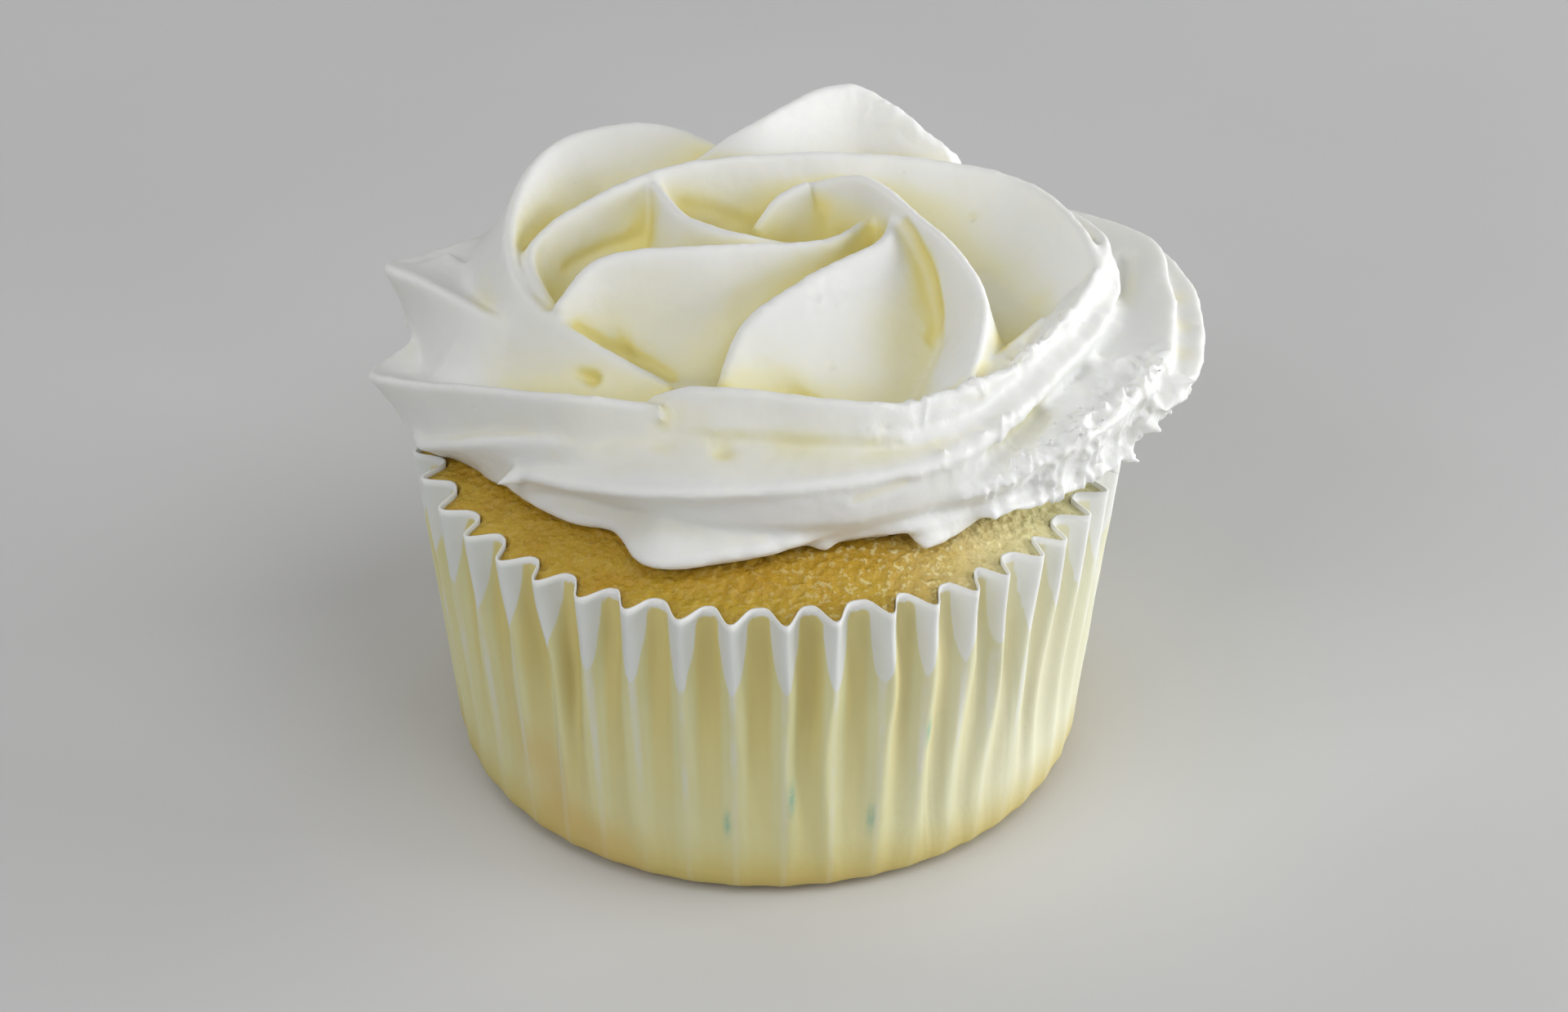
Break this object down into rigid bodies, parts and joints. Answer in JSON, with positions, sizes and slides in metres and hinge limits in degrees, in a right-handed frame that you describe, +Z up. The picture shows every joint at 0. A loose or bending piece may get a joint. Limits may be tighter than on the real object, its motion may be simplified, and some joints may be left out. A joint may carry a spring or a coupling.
{
  "type": "frosted cupcake",
  "caption": "Vanilla cupcake in a pleated white paper case, topped with a piped buttercream rosette of curled petals.",
  "frame": {"origin": "middle of the paper case's flat base, on the surface the cupcake stands on", "axes": "+Z up along the case's axis, -Y towards the side where the frosting hangs lowest, +X to the right of that side"},
  "size_m": [0.0805, 0.0724, 0.0576],
  "materials": {
    "paper": "thin greaseproof baking paper, soft sheen, stained yellow by the cake below the rim",
    "crumb": "golden sponge crumb, matte with fine pores",
    "buttercream": "smooth off-white buttercream, soft satin"
  },
  "bodies": {
    "root": {"paper_case": "paper", "cake": "crumb", "frosting": "buttercream"}
  },
  "joints": []
}
